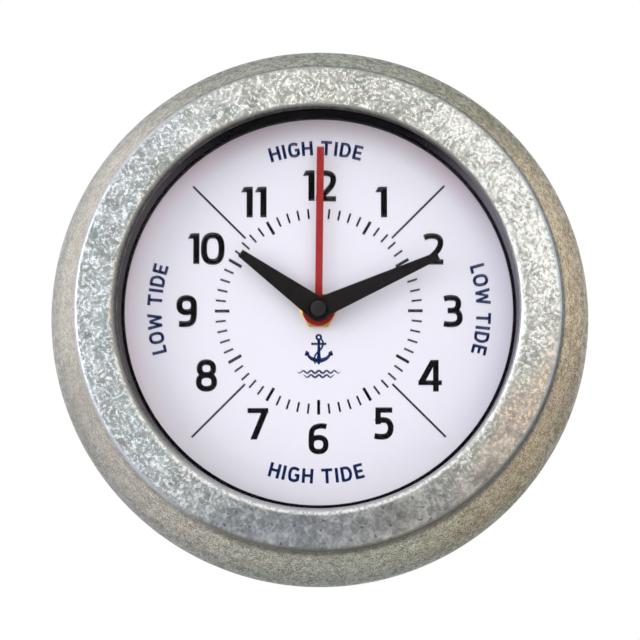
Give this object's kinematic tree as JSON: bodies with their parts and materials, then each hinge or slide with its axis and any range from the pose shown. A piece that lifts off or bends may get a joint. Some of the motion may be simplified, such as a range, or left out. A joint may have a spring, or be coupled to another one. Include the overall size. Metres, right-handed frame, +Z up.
{
  "type": "tide clock",
  "caption": "Round wall clock in a spangled galvanised steel case, with two black hands for the time and a red hand that follows the tide, a flat glass and a keyhole in its back.",
  "frame": {"origin": "where the hands' axis meets the wall, in the plane of the back face", "axes": "+Z up to twelve o'clock, +Y into the wall, +X to three o'clock; the dial faces -Y"},
  "size_m": [0.22, 0.0456, 0.22],
  "materials": {
    "galvanised_steel": "hot-dip galvanised, spangled",
    "glass": "clear, flat",
    "rubber": "matte",
    "black_gloss_plastic": "gloss",
    "white_dial": "matte white, printed",
    "fibreboard": "raw",
    "zinc_screws": "zinc plated",
    "black_matte_plastic": "fine moulded grain",
    "brass": "turned",
    "movement_plastic": "moulded",
    "plate_plastic": "moulded",
    "board_laminate": "lacquered",
    "nickel": "nickel plated",
    "black_epoxy": "moulded",
    "soft_iron": "stamped",
    "copper_wire": "enamelled wire",
    "magnet": "sintered",
    "acetal": "moulded",
    "red_paint": "satin",
    "black_paint": "satin",
    "dark_cap": "satin",
    "battery_wrap": "gloss sleeve, no lettering"
  },
  "bodies": {
    "case": {"case_shell": "galvanised_steel", "bezel_ring": "galvanised_steel", "lens": "glass", "lens_gasket": "rubber", "movement_washer": "rubber", "dial_surround": "black_gloss_plastic", "dial_plate": "white_dial", "dial_backing": "fibreboard", "dial_screws": "zinc_screws", "cover_screws": "zinc_screws", "train_screws": "zinc_screws", "stator_screws": "zinc_screws", "rear_cover": "black_matte_plastic", "movement_nut": "brass", "movement_bushing": "brass", "movement_front_case": "movement_plastic", "movement_back_cover": "movement_plastic", "middle_plate": "plate_plastic", "train_plate": "plate_plastic", "coil_bobbin": "plate_plastic", "circuit_board": "board_laminate", "quartz_crystal": "nickel", "contact_positive": "nickel", "contact_negative": "nickel", "control_chip": "black_epoxy", "stator": "soft_iron", "coil_core": "soft_iron", "coil_winding": "copper_wire", "battery": "battery_wrap"},
    "minute_works": {"minute_hand": "black_paint", "minute_arbor": "brass", "hand_cap": "dark_cap", "clutch_spring": "brass"},
    "hour_works": {"hour_hand": "black_paint", "hour_wheel": "acetal"},
    "tide_works": {"tide_hand": "red_paint", "tide_wheel": "acetal"},
    "setting_works": {"setting_wheel": "acetal", "set_knob": "black_matte_plastic"},
    "idler": {"tide_idler": "acetal"},
    "rotor": {"rotor_magnet": "magnet", "rotor_pinion": "acetal"},
    "intermediate": {"intermediate_wheel": "acetal"},
    "seconds": {"seconds_wheel": "acetal"},
    "third": {"third_wheel": "acetal"},
    "centre": {"centre_wheel": "acetal"}
  },
  "joints": [
    {"name": "minute_hand_turn", "type": "hinge", "parent": "case", "child": "minute_works", "pos_m": [0, 0, 0], "axis": [0, 1, 0], "continuous": true},
    {"name": "hour_hand_turn", "type": "hinge", "parent": "case", "child": "hour_works", "pos_m": [0, 0, 0], "axis": [0, 1, 0], "continuous": true},
    {"name": "tide_hand_turn", "type": "hinge", "parent": "case", "child": "tide_works", "pos_m": [0, 0, 0], "axis": [0, 1, 0], "continuous": true},
    {"name": "set_knob_turn", "type": "hinge", "parent": "case", "child": "setting_works", "pos_m": [0.009, 0, 0], "axis": [0, 1, 0], "continuous": true},
    {"name": "tide_idler_turn", "type": "hinge", "parent": "case", "child": "idler", "pos_m": [-0.00915, 0, 0], "axis": [0, 1, 0], "continuous": true},
    {"name": "seconds_wheel_turn", "type": "hinge", "parent": "case", "child": "seconds", "pos_m": [0.00143, 0, 0.0142], "axis": [0, 1, 0], "continuous": true},
    {"name": "rotor_turn", "type": "hinge", "parent": "case", "child": "rotor", "pos_m": [0.01243, 0, 0.01451], "axis": [0, 1, 0], "continuous": true},
    {"name": "intermediate_wheel_turn", "type": "hinge", "parent": "case", "child": "intermediate", "pos_m": [0.00735, 0, 0.01636], "axis": [0, 1, 0], "continuous": true},
    {"name": "third_wheel_turn", "type": "hinge", "parent": "case", "child": "third", "pos_m": [0.00405, 0, 0.00701], "axis": [0, 1, 0], "continuous": true},
    {"name": "centre_wheel_turn", "type": "hinge", "parent": "case", "child": "centre", "pos_m": [0, 0, 0], "axis": [0, 1, 0], "continuous": true}
  ],
  "couplings": [
    {"joint": "hour_hand_turn", "follows": "minute_hand_turn", "ratio": 0.083333},
    {"joint": "tide_hand_turn", "follows": "minute_hand_turn", "ratio": 0.080515},
    {"joint": "set_knob_turn", "follows": "minute_hand_turn", "ratio": -0.33333},
    {"joint": "tide_idler_turn", "follows": "minute_hand_turn", "ratio": -0.05787},
    {"joint": "rotor_turn", "follows": "seconds_wheel_turn", "ratio": 30},
    {"joint": "intermediate_wheel_turn", "follows": "seconds_wheel_turn", "ratio": -6},
    {"joint": "third_wheel_turn", "follows": "seconds_wheel_turn", "ratio": -0.13333},
    {"joint": "centre_wheel_turn", "follows": "seconds_wheel_turn", "ratio": 0.016667}
  ]
}
